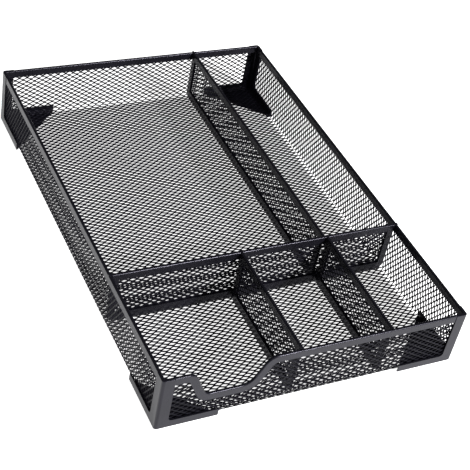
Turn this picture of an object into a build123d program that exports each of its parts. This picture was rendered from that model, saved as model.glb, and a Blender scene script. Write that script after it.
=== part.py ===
"""Drawer organizer tray: an expanded-steel basket with folded rims, corner brackets and four dividers.

Units are millimetres. X runs across the tray, +Y from the scooped front to the back, +Z up.
The origin is on the resting plane, under the middle of the tray.
"""

import os
from math import copysign, hypot

from build123d import *

# ---------------------------------------------------------------- driving dimensions
WIDTH = 254.0  # outside, across X
DEPTH = 381.0  # outside, front to back
RIM_TOP = 50.4  # height of the rims above the resting plane

BRACKET_SHEET = 1.0  # pressed steel of the corner brackets
EDGE_SHEET = 0.6  # thin strip folded over every raw edge of mesh
MESH = 1.4  # overall thickness of the expanded sheet

CORNER_RADIUS = 2.4  # outside radius of the upright corners
POST_FLANGE = 10.0  # width of each flange of a corner post
FOOT_LEG = 50.0  # reach of a corner foot along each wall
FOOT_LIP = 7.0  # height of the lip that a foot turns up along each wall
FOOT_FOLD = 0.9  # outside radius where the foot folds up into its lips
POST_CROWN = 0.4  # rounding of the outer edge on top of a post
LIP_FILLET = 3.0  # where a post flange runs out into a lip

FLOOR_BEND = 4.0  # outside radius where the mesh floor folds up into the walls
RIM_FACE = 6.5  # height of the folded rim strip
RIM_SETBACK = 0.4  # the rim's outer face lies this far behind the brackets'
CROWN_RADIUS = 0.9  # rounding of every folded strip along its crown

SCOOP_FLOOR = 26.2  # height of the low part of the front rim
SCOOP_FROM_LEFT = 36.8  # left outer face to the foot of the scoop's left slope
SCOOP_LENGTH = 35.0  # length of the scoop's floor, from the foot of one slope to the other
SCOOP_LEANS = (-11.2, 12.6)  # how far the left and right slopes lean across on their way up
SCOOP_HIGH_RADII = (9.0, 12.0)  # rounding where each slope meets the rim
SCOOP_LOW_RADII = (6.5, 11.5)  # rounding where each slope meets the scoop's floor

CROSS_FROM_FRONT = 109.0  # front outer face to the middle of the cross divider
LONG_FROM_LEFT = 184.2  # left outer face to the middle of the long divider
SHORT_FROM_LEFT = 110.0  # left outer face to the middle of the left short divider
STRIP_TOP = 6.0  # height of a divider's top strip, crown included
STRIP_END = 6.0  # width of a divider's end strips
STRIP_BOTTOM = 8.0  # height of a divider's bottom strip
TONGUE_WIDTH = 2.0  # tab that laps from a divider's crown over the rim it meets
TONGUE_ROOT = 3.0  # length over which a tongue is joined to its crown

# ---------------------------------------------------------------- sizes that follow
LEFT = -WIDTH / 2
FRONT = -DEPTH / 2
WALL_INNER = BRACKET_SHEET + MESH  # outer face of the tray to the inside of its mesh walls
RIM_INNER = WALL_INNER + EDGE_SHEET  # outer face of the tray to the inner leg of a rim
FLOOR_TOP = BRACKET_SHEET + MESH
STRIP_THICK = MESH + 2 * EDGE_SHEET  # a divider's strips clasp its mesh on both sides
DIVIDER_TOP = RIM_TOP + EDGE_SHEET  # a divider's crown is level with the tabs over the rims
DIVIDER_CLIP = FLOOR_BEND  # clipped lower corners stay clear of the bend in the floor
OVERSHOOT = 5.0  # cutting solids run this far past what they cut
SAME_PLACE = 1e-6  # two measurements closer than this are the same
FACING_UP = 0.01  # a face whose normal rises more than this is part of a crown
MITRE_REACH = RIM_INNER + OVERSHOOT  # the mitre planes run this far in from each corner

CROSS_Y = FRONT + CROSS_FROM_FRONT
LONG_X = LEFT + LONG_FROM_LEFT
SHORT_LEFT_X = LEFT + SHORT_FROM_LEFT
SHORT_RIGHT_X = LONG_X + STRIP_THICK  # side by side with the line of the long divider


# ---------------------------------------------------------------- shared solids
def plan_block(inset, bottom, top):
    """Upright block of the tray's plan, with its faces moved in from the outside by inset.

    An inset of more than the outside radius leaves a square corner, as a tight fold does.
    """
    plan = Rectangle(WIDTH - 2 * inset, DEPTH - 2 * inset)
    if CORNER_RADIUS - inset > SAME_PLACE:
        plan = fillet(plan.vertices(), CORNER_RADIUS - inset)
    return Pos(0, 0, bottom) * extrude(plan, top - bottom)


def folded_block(inset, bend, bottom):
    """Block with the outline of a flat blank folded up on four sides, both ways at the same bend."""
    middle = Pos(0, 0, bottom + RIM_TOP)
    across = Plane.XZ * RectangleRounded(WIDTH - 2 * inset, 2 * RIM_TOP, bend)
    along = Plane.YZ * RectangleRounded(DEPTH - 2 * inset, 2 * RIM_TOP, bend)
    return (
        plan_block(inset, bottom, RIM_TOP)
        & middle * extrude(across, DEPTH, both=True)
        & middle * extrude(along, WIDTH, both=True)
    )


def above_rim_line(drop):
    """Everything above the rim line lowered by drop: level on three sides, scooped at the front."""
    rise = RIM_TOP - SCOOP_FLOOR
    foot = LEFT + SCOOP_FROM_LEFT
    corners = []
    for low_x, lean in zip((foot, foot + SCOOP_LENGTH), SCOOP_LEANS):
        slope = lean / rise
        shifted_x = low_x + copysign(drop * hypot(1, slope), lean)
        corners.append((shifted_x - slope * drop, SCOOP_FLOOR - drop))
        corners.append((shifted_x + slope * (rise - drop), RIM_TOP - drop))
    left_low, left_high, right_low, right_high = corners
    start = (LEFT - OVERSHOOT, RIM_TOP - drop)
    end = (-LEFT + OVERSHOOT, RIM_TOP - drop)
    radii = [
        SCOOP_HIGH_RADII[0] - drop,
        SCOOP_LOW_RADII[0] + drop,
        SCOOP_LOW_RADII[1] + drop,
        SCOOP_HIGH_RADII[1] - drop,
    ]
    edge = FilletPolyline(start, left_high, left_low, right_low, right_high, end, radius=radii)
    sky = RIM_TOP + OVERSHOOT
    closing = Polyline(end, (end[0], sky), (start[0], sky), start)
    front_wall = Plane.XZ * make_face(edge.edges() + closing.edges())
    notch = Pos(0, FRONT - OVERSHOOT, 0) * extrude(front_wall, -(RIM_INNER + 2 * OVERSHOOT))
    level = Pos(0, 0, RIM_TOP - drop) * extrude(Rectangle(2 * WIDTH, 2 * DEPTH), drop + OVERSHOOT)
    return level + notch


# ---------------------------------------------------------------- mesh basket
def make_basket():
    """The one blank of expanded mesh, folded into a floor and four walls."""
    outside = folded_block(BRACKET_SHEET, FLOOR_BEND, BRACKET_SHEET)
    inside = folded_block(WALL_INNER, FLOOR_BEND - MESH, FLOOR_TOP)
    return outside - inside - above_rim_line(EDGE_SHEET)


# ---------------------------------------------------------------- corner brackets
def make_bracket():
    """Front left bracket: an angle post and a three-cornered foot with a lip along each wall."""
    outside = plan_block(0, 0, RIM_TOP)
    outside = fillet(outside.faces().sort_by(Axis.Z)[0].edges(), FOOT_FOLD)
    outside = fillet(outside.faces().sort_by(Axis.Z)[-1].edges(), POST_CROWN)
    shell = outside - plan_block(BRACKET_SHEET, BRACKET_SHEET, RIM_TOP)

    corner = Pos(LEFT, FRONT, 0)
    post = corner * extrude(Rectangle(POST_FLANGE, POST_FLANGE, align=Align.MIN), RIM_TOP)
    gusset = Polygon(
        (0, 0),
        (FOOT_LEG, 0),
        (FOOT_LEG, BRACKET_SHEET),
        (BRACKET_SHEET, FOOT_LEG),
        (0, FOOT_LEG),
        align=None,
    )
    foot = corner * extrude(gusset, FOOT_LIP)
    bracket = shell & (post + foot)

    def is_lip_notch(edge):
        along = max(edge.center().X - LEFT, edge.center().Y - FRONT)
        at_post = abs(along - POST_FLANGE) < SAME_PLACE
        return at_post and abs(edge.center().Z - FOOT_LIP) < SAME_PLACE

    return fillet([edge for edge in bracket.edges() if is_lip_notch(edge)], LIP_FILLET)


def make_brackets():
    """The four brackets: one pressing and its other hand, each used at two opposite corners."""
    front_left = make_bracket()
    front_right = mirror(front_left, about=Plane.YZ)
    half_turn = Rot(0, 0, 180)
    return {
        "bracket_front_left": front_left,
        "bracket_front_right": front_right,
        "bracket_back_left": half_turn * front_right,
        "bracket_back_right": half_turn * front_left,
    }


# ---------------------------------------------------------------- rims
def mitre_wedge(length, reach):
    """Plan area of one side's rim: a strip along the outside with its ends cut at 45 degrees."""
    half = length / 2
    return Polygon((-half, 0), (half, 0), (half - reach, reach), (-half + reach, reach), align=None)


def make_rims(basket, brackets):
    """Four folded channels over the top edge of the mesh, mitred at the corners."""
    ring = plan_block(RIM_SETBACK, 0, RIM_TOP) - plan_block(RIM_INNER, -OVERSHOOT, RIM_TOP + OVERSHOOT)
    ring = ring - above_rim_line(0)
    crown_faces = [face for face in ring.faces() if face.normal_at().Z > FACING_UP]
    crown_edges = [edge for face in crown_faces for edge in face.edges()]
    outline = [edge for edge in crown_edges if sum(edge.is_same(other) for other in crown_edges) == 1]
    channel = fillet(outline, CROWN_RADIUS) & above_rim_line(RIM_FACE)
    channel = channel - basket
    for bracket in brackets:
        channel = channel - bracket

    sides = {
        "rim_front": Pos(0, FRONT, 0) * mitre_wedge(WIDTH, MITRE_REACH),
        "rim_back": Pos(0, -FRONT, 0) * Rot(0, 0, 180) * mitre_wedge(WIDTH, MITRE_REACH),
        "rim_left": Pos(LEFT, 0, 0) * Rot(0, 0, -90) * mitre_wedge(DEPTH, MITRE_REACH),
        "rim_right": Pos(-LEFT, 0, 0) * Rot(0, 0, 90) * mitre_wedge(DEPTH, MITRE_REACH),
    }
    return {name: channel & extrude(area, RIM_TOP + OVERSHOOT) for name, area in sides.items()}


# ---------------------------------------------------------------- dividers
def make_divider(name, length, tongue_start=0.0, tongue_end=0.0):
    """Mesh panel with folded strips on all four edges, standing along +X from the origin.

    A tongue is a tab of its given length that carries the crown past that end, over a rim.
    """
    high = DIVIDER_TOP
    low = FLOOR_TOP
    outline = Polygon(
        (0, high),
        (length, high),
        (length, low + DIVIDER_CLIP),
        (length - DIVIDER_CLIP, low),
        (DIVIDER_CLIP, low),
        (0, low + DIVIDER_CLIP),
        align=None,
    )
    panel = extrude(Plane.XZ * offset(outline, -EDGE_SHEET), MESH / 2, both=True)
    blank = extrude(Plane.XZ * outline, STRIP_THICK / 2, both=True)
    flat_faces = blank.faces().filter_by(Axis.Y)
    blank = fillet(flat_faces[0].edges() + flat_faces[1].edges(), CROWN_RADIUS)
    edging = blank - panel

    def zone(x_from, x_to, z_from, z_to):
        area = Box(x_to - x_from, 2 * STRIP_THICK, z_to - z_from, align=Align.MIN)
        return Pos(x_from, -STRIP_THICK, z_from) * area

    top_from = high - STRIP_TOP
    bottom_to = low + STRIP_BOTTOM
    top = edging & zone(0, length, top_from, high)
    for root, reach in ((0, -tongue_start), (length, tongue_end)):
        if reach:
            inner = root - copysign(TONGUE_ROOT, reach)
            tab = Box(abs(root + reach - inner), TONGUE_WIDTH, EDGE_SHEET)
            top = top + Pos((root + reach + inner) / 2, 0, high - EDGE_SHEET / 2) * tab
    return {
        f"{name}_mesh": panel,
        f"{name}_top_strip": top,
        f"{name}_bottom_strip": edging & zone(0, length, low, bottom_to),
        f"{name}_start_strip": edging & zone(0, STRIP_END, bottom_to, top_from),
        f"{name}_end_strip": edging & zone(length - STRIP_END, length, bottom_to, top_from),
    }


def make_dividers():
    """The cross divider, the long divider behind it and the two short ones in front of it."""
    rim_lap = RIM_INNER - RIM_SETBACK
    cross_length = WIDTH - 2 * RIM_INNER
    short_length = CROSS_FROM_FRONT - STRIP_THICK / 2 - RIM_INNER
    long_length = DEPTH - CROSS_FROM_FRONT - STRIP_THICK / 2 - RIM_INNER

    placed = {}
    layout = (
        ("cross_divider", Pos(LEFT + RIM_INNER, CROSS_Y, 0), cross_length, rim_lap, rim_lap),
        ("long_divider", Pos(LONG_X, CROSS_Y + STRIP_THICK / 2, 0), long_length, 0, rim_lap),
        ("short_divider_left", Pos(SHORT_LEFT_X, FRONT + RIM_INNER, 0), short_length, rim_lap, STRIP_THICK),
        ("short_divider_right", Pos(SHORT_RIGHT_X, FRONT + RIM_INNER, 0), short_length, rim_lap, STRIP_THICK),
    )
    for name, place, length, tongue_start, tongue_end in layout:
        turn = Rot(0, 0, 0) if name == "cross_divider" else Rot(0, 0, 90)
        for node, solid in make_divider(name, length, tongue_start, tongue_end).items():
            placed[node] = place * turn * solid
    for side in ("left", "right"):
        crown = placed["cross_divider_top_strip"]
        placed["cross_divider_top_strip"] = crown - placed[f"short_divider_{side}_top_strip"]
    return placed


# ---------------------------------------------------------------- the whole tray
basket = make_basket()
brackets = make_brackets()
nodes = {
    "mesh_basket": basket,
    **brackets,
    **make_rims(basket, brackets.values()),
    **make_dividers(),
}

os.makedirs("parts", exist_ok=True)
for node, solid in nodes.items():
    export_step(solid, f"parts/{node}.step")
    box = solid.bounding_box()
    print(f"{node}: {box.size.X:.1f} x {box.size.Y:.1f} x {box.size.Z:.1f} mm, {solid.volume:.0f} mm3")
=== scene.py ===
# %% [markdown]
# # A black mesh drawer organizer
#
# The tray is expanded steel mesh, folded up into a basket. Strips of sheet are folded over its raw edges, and
# pressed brackets hold its corners and carry it on four feet. The sheet-metal pieces come from the CAD model
# with their shapes right, so here they only get a finish. The mesh is a plain plate in the CAD model, so here
# it is built up from its strands.

import math

import bpy
from mathutils import Matrix, Vector


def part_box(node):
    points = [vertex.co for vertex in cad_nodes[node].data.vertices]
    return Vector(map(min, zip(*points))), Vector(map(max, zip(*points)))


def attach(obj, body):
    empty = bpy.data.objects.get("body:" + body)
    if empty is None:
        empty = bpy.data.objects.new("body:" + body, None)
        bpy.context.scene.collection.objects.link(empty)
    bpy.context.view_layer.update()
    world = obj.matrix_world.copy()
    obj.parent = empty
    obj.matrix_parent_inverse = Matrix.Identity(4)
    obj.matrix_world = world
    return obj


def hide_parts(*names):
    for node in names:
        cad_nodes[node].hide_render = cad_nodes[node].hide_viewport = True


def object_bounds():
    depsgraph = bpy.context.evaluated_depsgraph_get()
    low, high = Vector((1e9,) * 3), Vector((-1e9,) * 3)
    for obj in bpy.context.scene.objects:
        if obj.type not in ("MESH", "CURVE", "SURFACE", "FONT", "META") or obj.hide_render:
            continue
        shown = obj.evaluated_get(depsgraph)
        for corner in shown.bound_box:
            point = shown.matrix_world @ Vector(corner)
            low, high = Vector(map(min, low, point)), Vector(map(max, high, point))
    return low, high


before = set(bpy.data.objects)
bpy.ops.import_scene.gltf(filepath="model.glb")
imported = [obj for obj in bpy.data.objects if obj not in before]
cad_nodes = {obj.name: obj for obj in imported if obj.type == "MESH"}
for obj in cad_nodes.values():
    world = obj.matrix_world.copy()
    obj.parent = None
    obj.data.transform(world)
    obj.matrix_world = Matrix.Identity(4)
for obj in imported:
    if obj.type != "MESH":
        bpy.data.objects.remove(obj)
cad_low, cad_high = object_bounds()
print("tray", [round(1000 * side, 1) for side in cad_high - cad_low], "mm")

# %% [markdown]
# ## Small helpers
#
# An operator works on whatever is selected, and the loader leaves the CAD pieces selected. So every step that
# uses an operator first selects the one piece that it is meant for.


# %% Select, place and finish one piece
def work_on(piece):
    """Leaves one piece selected and active, in object mode."""
    bpy.ops.object.select_all(action="DESELECT")
    piece.select_set(True)
    bpy.context.view_layer.objects.active = piece


def bake_place(piece, turn, place=(0, 0, 0)):
    """Turns a piece, moves it, and puts the result in its mesh, so that its object stays at the origin."""
    work_on(piece)
    piece.matrix_world = Matrix.Translation(place) @ turn
    bpy.ops.object.transform_apply(location=True, rotation=True, scale=True)


def add_and_apply(piece, kind, **settings):
    """Adds a modifier with the given settings and applies it."""
    work_on(piece)
    modifier = piece.modifiers.new(kind.title(), kind)
    for name, value in settings.items():
        setattr(modifier, name, value)
    bpy.ops.object.modifier_apply(modifier=modifier.name)


def triangles(piece):
    """Counts the triangles that a piece is drawn with."""
    return sum(len(face.vertices) - 2 for face in piece.data.polygons)


# %% [markdown]
# ## One wave of strand
#
# Expanded mesh isn't woven. A press slits a sheet and pulls it open, so each strand is a flat ribbon that
# zigzags along the sheet and is still joined to the next ribbon at every peak and valley. The sheet is then
# rolled nearly flat, and what is left of the ribbons' lean makes the mesh look closed from one side and open
# from the other. A lattice of straight bars would miss both, so one whole wave of ribbon is swept here.

# %% Sizes of the expanded mesh
LONG_PITCH = 0.0072  # from one opening to the next along the strands
SHORT_PITCH = 0.0045  # from one opening to the next across the strands
RIBBON_WIDTH = 0.0011
RIBBON_THICK = 0.0005
RIBBON_LEAN = math.radians(9)
JOINT_LENGTH = 0.0009  # length over which two neighbouring ribbons are joined
SAME_PLACE = RIBBON_THICK / 40  # corners of two copies that are closer than this are one corner

lean_across = RIBBON_WIDTH * math.cos(RIBBON_LEAN)
lean_up = RIBBON_WIDTH * math.sin(RIBBON_LEAN)
print("openings", round(1000 * (SHORT_PITCH - 2 * lean_across), 2), "mm high")


# %% Sweep one wave and open its joints
def make_wave(name):
    """One wave of ribbon as an open tube, with its valley joint at the origin."""
    bpy.ops.object.select_all(action="DESELECT")
    bpy.ops.mesh.primitive_plane_add(size=1)
    wave = bpy.context.object
    wave.name = name
    section = Matrix.Rotation(RIBBON_LEAN, 4, "X") @ Matrix.Rotation(math.radians(90), 4, "Y")
    section = section @ Matrix.Diagonal((RIBBON_THICK, RIBBON_WIDTH, 1, 1))
    bake_place(wave, section, (-JOINT_LENGTH / 2, lean_across / 2, lean_up / 2))

    flat = (JOINT_LENGTH, 0, 0)
    run = LONG_PITCH / 2 - JOINT_LENGTH
    rise = (run, SHORT_PITCH / 2 - lean_across, -lean_up)
    fall = (run, lean_across - SHORT_PITCH / 2, lean_up)
    bpy.ops.object.mode_set(mode="EDIT")
    bpy.ops.mesh.select_mode(type="EDGE")
    bpy.ops.mesh.select_all(action="SELECT")
    bpy.ops.mesh.delete(type="ONLY_FACE")
    bpy.ops.mesh.select_all(action="SELECT")
    for step in (flat, rise, flat, fall):
        bpy.ops.mesh.extrude_region_move(TRANSFORM_OT_translate={"value": step})
    bpy.ops.mesh.select_mode(type="FACE")
    bpy.ops.mesh.select_all(action="DESELECT")
    bpy.ops.object.mode_set(mode="OBJECT")

    # The faces where two ribbons meet are left open, so that the copies join into one skin.
    joints = (Vector((0, 0, 0)), Vector((LONG_PITCH / 2, SHORT_PITCH / 2, 0)))
    for face in wave.data.polygons:
        face.select = any((face.center - joint).length < RIBBON_THICK / 4 for joint in joints)
    bpy.ops.object.mode_set(mode="EDIT")
    bpy.ops.mesh.delete(type="ONLY_FACE")
    bpy.ops.object.mode_set(mode="OBJECT")
    return wave


# %% [markdown]
# ## A sheet of mesh
#
# The wave is copied in three arrays: a half-step neighbour that fits into it, then along the strands, then
# across them. Each array merges the edges where copies meet, so the result is one skin. The sheet is cut to
# size with a bisect along each side. All sheets start from the same lattice, so the floor and the walls,
# which are one blank on the real tray, keep their openings in line across the folds.


# %% Copy the wave and cut the sheet
def cut_side(piece, edge, outward):
    """Cuts a mesh along a plane, drops what is beyond it and closes the cut ends."""
    work_on(piece)
    bpy.ops.object.mode_set(mode="EDIT")
    bpy.ops.mesh.select_all(action="SELECT")
    bpy.ops.mesh.bisect(plane_co=edge, plane_no=outward, clear_outer=True, use_fill=True)
    bpy.ops.object.mode_set(mode="OBJECT")


def make_sheet(name, low, high):
    """Flat sheet of expanded mesh between two corners of the blank, in the plane z = 0."""
    first_column = math.floor(low[0] / LONG_PITCH) - 1
    first_row = math.floor(low[1] / SHORT_PITCH) - 1
    columns = math.ceil(high[0] / LONG_PITCH) + 1 - first_column
    rows = math.ceil(high[1] / SHORT_PITCH) + 1 - first_row

    sheet = make_wave(name)
    copies = (
        (2, (LONG_PITCH / 2, SHORT_PITCH / 2, 0)),
        (columns, (LONG_PITCH, 0, 0)),
        (rows, (0, SHORT_PITCH, 0)),
    )
    for count, step in copies:
        add_and_apply(
            sheet,
            "ARRAY",
            count=count,
            use_relative_offset=False,
            use_constant_offset=True,
            constant_offset_displace=step,
            use_merge_vertices=True,
            merge_threshold=SAME_PLACE,
        )
    start = (first_column * LONG_PITCH, first_row * SHORT_PITCH, 0)
    bake_place(sheet, Matrix.Identity(4), start)

    cut_side(sheet, (low[0], 0, 0), (-1, 0, 0))
    cut_side(sheet, (high[0], 0, 0), (1, 0, 0))
    cut_side(sheet, (0, low[1], 0), (0, -1, 0))
    cut_side(sheet, (0, high[1], 0), (0, 1, 0))
    return sheet


def finish_mesh(piece, *cad_names):
    """Turns the faces outwards, smooths them, and lets the piece stand for its CAD plate."""
    work_on(piece)
    bpy.ops.object.mode_set(mode="EDIT")
    bpy.ops.mesh.select_all(action="SELECT")
    bpy.ops.mesh.normals_make_consistent(inside=False)
    bpy.ops.object.mode_set(mode="OBJECT")
    bpy.ops.object.shade_smooth()
    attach(piece, "root")
    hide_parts(*cad_names)
    print(piece.name, triangles(piece), "triangles")
    return piece


# %% [markdown]
# ## The basket
#
# The floor is the flat middle of the blank. Each wall is a flap that stands straight above a quarter bend.
# The flap is stood up first, and then Simple Deform, limited to the lowest few millimetres, curls its foot
# inwards until it meets the floor.

# %% Places on the folded blank
FLOOR_BEND = 0.004  # outside radius of the fold between floor and wall
CAD_MESH_THICK = 0.0014

basket_low, basket_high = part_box("mesh_basket")
middle_radius = FLOOR_BEND - CAD_MESH_THICK / 2
bend_length = middle_radius * math.radians(90)
bend_top = basket_low.z + FLOOR_BEND
wall_height = basket_high.z - bend_top
flat_x = basket_high.x - FLOOR_BEND
flat_y = basket_high.y - FLOOR_BEND
print("flat floor", round(2000 * flat_x, 1), "x", round(2000 * flat_y, 1), "mm")
print("length of the bend", round(1000 * bend_length, 2), "mm")

# %% Lay the floor
floor_mesh = make_sheet("mesh_floor", (-flat_x, -flat_y), (flat_x, flat_y))
bake_place(floor_mesh, Matrix.Identity(4), (0, 0, basket_low.z + CAD_MESH_THICK / 2))
finish_mesh(floor_mesh, "mesh_basket")


# %% Stand up a wall and curl its foot
def make_wall(side, side_axis, outward):
    """One wall with its bend. side_axis is 0 for left and right, 1 for front and back; outward is -1 or 1."""
    near = (flat_x, flat_y)[side_axis]
    far = near + bend_length + wall_height
    first, last = sorted((near * outward, far * outward))
    # The front and back walls are as wide as the flat floor, and the side walls run on to close the corners.
    along = (basket_high.y - CAD_MESH_THICK - RIBBON_THICK, flat_x)[side_axis]
    if side_axis == 0:
        low, high = (first, -along), (last, along)
        stand_up = Matrix.Rotation(math.radians(-90 * outward), 4, "Y")
    else:
        low, high = (-along, first), (along, last)
        stand_up = Matrix.Rotation(math.radians(90 * outward), 4, "X")
    wall = make_sheet(f"mesh_wall_{side}", low, high)
    bake_place(wall, stand_up, (0, 0, -near - bend_length))

    add_and_apply(
        wall,
        "SIMPLE_DEFORM",
        deform_method="BEND",
        deform_axis="YX"[side_axis],
        angle=math.radians(-90 * outward),
        limits=(0, bend_length / (bend_length + wall_height)),
    )
    place = [0, 0, bend_top]
    place[side_axis] = outward * ((basket_high.x, basket_high.y)[side_axis] - CAD_MESH_THICK / 2)
    bake_place(wall, Matrix.Identity(4), place)
    return wall


# %% The four walls
walls = {}
for side, side_axis, outward in (("left", 0, -1), ("right", 0, 1), ("front", 1, -1), ("back", 1, 1)):
    walls[side] = finish_mesh(make_wall(side, side_axis, outward), "mesh_basket")

# %% [markdown]
# The front wall dips under the scoop. Its raw edge is hidden in the folded rim, so the strands only have to
# stop somewhere inside that channel. The rim itself says how high it is at each place: a ray dropped on it
# finds its crown.

# %% Cut the scoop out of the front wall
RIM_COVER = 0.0035  # strands stop this far below the rim's crown


def cut_under_rim(wall, rim):
    """Removes the strands that would reach above the rim's crown."""
    rim_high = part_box(rim.name)[1]
    middle_y = (basket_low.y + rim_high.y) / 2
    for face in wall.data.polygons:
        start = Vector((face.center.x, middle_y, cad_high.z))
        hit, crown = rim.ray_cast(start, Vector((0, 0, -1)))[:2]
        face.select = hit and face.center.z > crown.z - RIM_COVER
    work_on(wall)
    bpy.ops.object.mode_set(mode="EDIT")
    bpy.ops.mesh.delete(type="FACE")
    bpy.ops.object.mode_set(mode="OBJECT")


cut_under_rim(walls["front"], cad_nodes["rim_front"])
print("front wall", triangles(walls["front"]), "triangles after the scoop")

# %% [markdown]
# ## The dividers
#
# Each divider is a flat panel of the same mesh, held in folded strips along all four edges. The panel is cut
# to run halfway into the strips, then stood up where the CAD plate is, with its ribbons leaning the other way
# from the walls'.

# %% Stand up the divider panels
STRIP_HALF = 0.003  # the panels run this far short of the CAD plates, inside the strips


def make_panel(divider):
    """Mesh panel of one divider, standing in the place of its CAD plate."""
    low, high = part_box(f"{divider}_mesh")
    size = high - low
    length = max(size.x, size.y) - 2 * STRIP_HALF
    panel = make_sheet(f"mesh_{divider}", (0, 0), (length, size.z - 2 * STRIP_HALF))
    run_axis = 0 if size.x > size.y else 1
    turn = Matrix.Rotation(math.radians((180, -90)[run_axis]), 4, "Z")
    place = (low + high) / 2
    place[run_axis] = high[run_axis] - STRIP_HALF
    place.z = low.z + STRIP_HALF
    bake_place(panel, turn @ Matrix.Rotation(math.radians(90), 4, "X"), place)
    return finish_mesh(panel, f"{divider}_mesh")


panels = [
    make_panel(divider)
    for divider in ("cross_divider", "long_divider", "short_divider_left", "short_divider_right")
]

# %% [markdown]
# ## Powder coat
#
# Everything is coated with black powder that is baked on. It leaves a faint orange-peel grain, pools a little
# so that its sheen isn't even, and is a touch bluish where it catches the light. The grain is used by every
# coated piece, so it is a node group that puts out a colour, a roughness and a height.


# %% The coat as a node group
CLOUD_SCALE = 45  # blotches of colour in a metre
POOL_SCALE = 400  # patches of sheen in a metre
PEEL_SCALE = 1600  # grains of the surface in a metre


def new_group(name, inputs, outputs):
    """Empty shader node group with named sockets."""
    group = bpy.data.node_groups.new(name, "ShaderNodeTree")
    for in_out, sockets in (("INPUT", inputs), ("OUTPUT", outputs)):
        for label, kind in sockets:
            group.interface.new_socket(label, in_out=in_out, socket_type=kind)
    return group


def noise(tree, position, scale, detail):
    """Noise texture on the given coordinates."""
    texture = tree.nodes.new("ShaderNodeTexNoise")
    texture.inputs["Scale"].default_value = scale
    texture.inputs["Detail"].default_value = detail
    tree.links.new(position, texture.inputs["Vector"])
    return texture.outputs["Fac"]


def spread(tree, factor, low, high):
    """Maps a 0 to 1 factor to the range between the values of two sockets."""
    node = tree.nodes.new("ShaderNodeMapRange")
    for name, value in (("Value", factor), ("To Min", low), ("To Max", high)):
        tree.links.new(value, node.inputs[name])
    return node.outputs["Result"]


coat = new_group(
    "powder_coat_grain",
    (
        ("Dark", "NodeSocketColor"),
        ("Light", "NodeSocketColor"),
        ("Smoothest", "NodeSocketFloat"),
        ("Roughest", "NodeSocketFloat"),
    ),
    (("Color", "NodeSocketColor"), ("Roughness", "NodeSocketFloat"), ("Height", "NodeSocketFloat")),
)
inside = coat.nodes.new("NodeGroupInput")
outside = coat.nodes.new("NodeGroupOutput")
position = coat.nodes.new("ShaderNodeTexCoord").outputs["Object"]
clouds = noise(coat, position, CLOUD_SCALE, detail=3)
pools = noise(coat, position, POOL_SCALE, detail=2)
peel = noise(coat, position, PEEL_SCALE, detail=2)
shade = coat.nodes.new("ShaderNodeMix")
shade.data_type = "RGBA"
coat.links.new(clouds, shade.inputs["Factor"])
coat.links.new(inside.outputs["Dark"], shade.inputs["A"])
coat.links.new(inside.outputs["Light"], shade.inputs["B"])
coat.links.new(shade.outputs["Result"], outside.inputs["Color"])
sheen_range = spread(coat, pools, inside.outputs["Smoothest"], inside.outputs["Roughest"])
coat.links.new(sheen_range, outside.inputs["Roughness"])
coat.links.new(peel, outside.inputs["Height"])
print("coat group", len(coat.nodes), "nodes")


# %% Materials for the strips, brackets and mesh
COLD_SHEEN = (0.86, 0.84, 1, 1)  # the coat mirrors white as a slightly violet grey
GRAIN_STRENGTH = 0.6


def coated(name, dark, light, gloss, smoothest, roughest, grain_depth):
    """Black powder coat with its own colours, strength and range of sheen, and depth of grain."""
    material = bpy.data.materials.new(name)
    material.use_nodes = True
    tree = material.node_tree
    shader = tree.nodes["Principled BSDF"]
    shader.inputs["Specular IOR Level"].default_value = gloss
    shader.inputs["Specular Tint"].default_value = COLD_SHEEN
    group = tree.nodes.new("ShaderNodeGroup")
    group.node_tree = coat
    group.inputs["Dark"].default_value = (*dark, 1)
    group.inputs["Light"].default_value = (*light, 1)
    group.inputs["Smoothest"].default_value = smoothest
    group.inputs["Roughest"].default_value = roughest
    bump = tree.nodes.new("ShaderNodeBump")
    bump.inputs["Distance"].default_value = grain_depth
    bump.inputs["Strength"].default_value = GRAIN_STRENGTH
    tree.links.new(group.outputs["Color"], shader.inputs["Base Color"])
    tree.links.new(group.outputs["Roughness"], shader.inputs["Roughness"])
    tree.links.new(group.outputs["Height"], bump.inputs["Height"])
    tree.links.new(bump.outputs["Normal"], shader.inputs["Normal"])
    return material


black = (0.0022, 0.0021, 0.0032)
soft_black = (0.006, 0.0057, 0.009)
strip_coat = coated(
    "coated_strip", black, soft_black, gloss=0.22, smoothest=0.22, roughest=0.32, grain_depth=0.00003
)
bracket_coat = coated(
    "coated_bracket", black, soft_black, gloss=0.2, smoothest=0.24, roughest=0.36, grain_depth=0.00004
)
mesh_coat = coated(
    "coated_mesh", black, soft_black, gloss=0.06, smoothest=0.35, roughest=0.5, grain_depth=0.00004
)

# %% Coat every piece
for node, piece in cad_nodes.items():
    if piece.hide_render:
        continue
    piece.data.materials.clear()
    piece.data.materials.append(bracket_coat if node.startswith("bracket") else strip_coat)
for piece in (floor_mesh, *walls.values(), *panels):
    piece.data.materials.append(mesh_coat)

# %% [markdown]
# ## Studio
#
# The tray stands on a white light table, which shines through the openings, under two large soft lights. The
# coat is nearly black, so what is seen on it is mostly what it mirrors: its outer sides mirror the bright
# table, and its flat tops mirror the dim room behind it. A third, smaller light stands where the rounded
# crowns of the strips mirror it, and draws a thin bright line along them.

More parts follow.
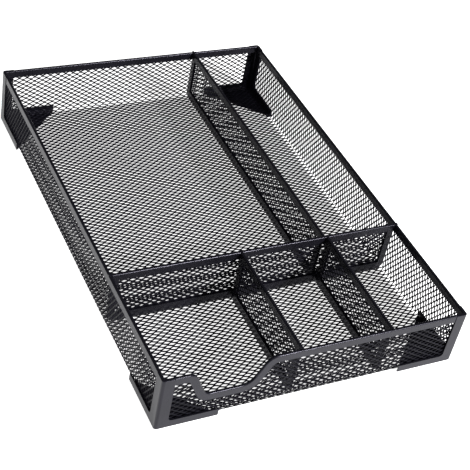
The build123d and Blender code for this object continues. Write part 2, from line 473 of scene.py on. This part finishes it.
# %% Table
bpy.ops.object.select_all(action="DESELECT")
bpy.ops.mesh.primitive_plane_add(size=12)
table_top = bpy.context.object
table_top.name = "table_top"
table_white = bpy.data.materials.new("table_white")
table_white.use_nodes = True
table_shader = table_white.node_tree.nodes["Principled BSDF"]
table_shader.inputs["Base Color"].default_value = (0.9, 0.9, 0.9, 1)
table_shader.inputs["Roughness"].default_value = 0.9
table_shader.inputs["Emission Color"].default_value = (1, 1, 1, 1)
table_shader.inputs["Emission Strength"].default_value = 0.95
table_top.data.materials.append(table_white)


# %% Lights
def soft_light(name, place, size, watts):
    """Square area light aimed at the middle of the tray."""
    bpy.ops.object.light_add(type="AREA", location=place)
    lamp = bpy.context.object
    lamp.name = name
    lamp.data.size = size
    lamp.data.energy = watts
    lamp.rotation_euler = (-Vector(place)).to_track_quat("-Z", "Y").to_euler()


soft_light("key_light", place=(-1.6, -1.2, 2.6), size=2.4, watts=15)
soft_light("top_light", place=(0.4, -0.4, 3.0), size=2.4, watts=12)
soft_light("crown_light", place=(1.2, -2.3, 1.7), size=0.3, watts=190)
world = bpy.data.worlds.new("dim_room")
bpy.context.scene.world = world
world.use_nodes = True
world.node_tree.nodes["Background"].inputs["Color"].default_value = (0.95, 0.97, 1, 1)
world.node_tree.nodes["Background"].inputs["Strength"].default_value = 0.12
bpy.context.scene.view_settings.view_transform = "Standard"

# %% [markdown]
# ## Camera
#
# The camera looks down on the front left corner through a long lens, tilted a little on its axis.

# %% Camera
AZIMUTH = math.radians(-32.65)
ELEVATION = math.radians(39.88)
TILT = math.radians(12.52)
DISTANCE = 0.996
FOCAL_LENGTH = 93.14  # in millimetres, as the sensor's width is
SENSOR_WIDTH = 36

bpy.ops.object.camera_add(location=(0, 0, 0))
camera = bpy.context.object
turn = (
    Matrix.Rotation(AZIMUTH, 4, "Z")
    @ Matrix.Rotation(math.radians(90) - ELEVATION, 4, "X")
    @ Matrix.Rotation(TILT, 4, "Z")
)
aim = Vector((0.0028, -0.0363, 0.025))
camera.matrix_world = Matrix.Translation(aim) @ turn @ Matrix.Translation((0, 0, DISTANCE))
camera.data.sensor_width = SENSOR_WIDTH
camera.data.lens = FOCAL_LENGTH
camera.data.clip_start = 0.05
bpy.context.scene.camera = camera
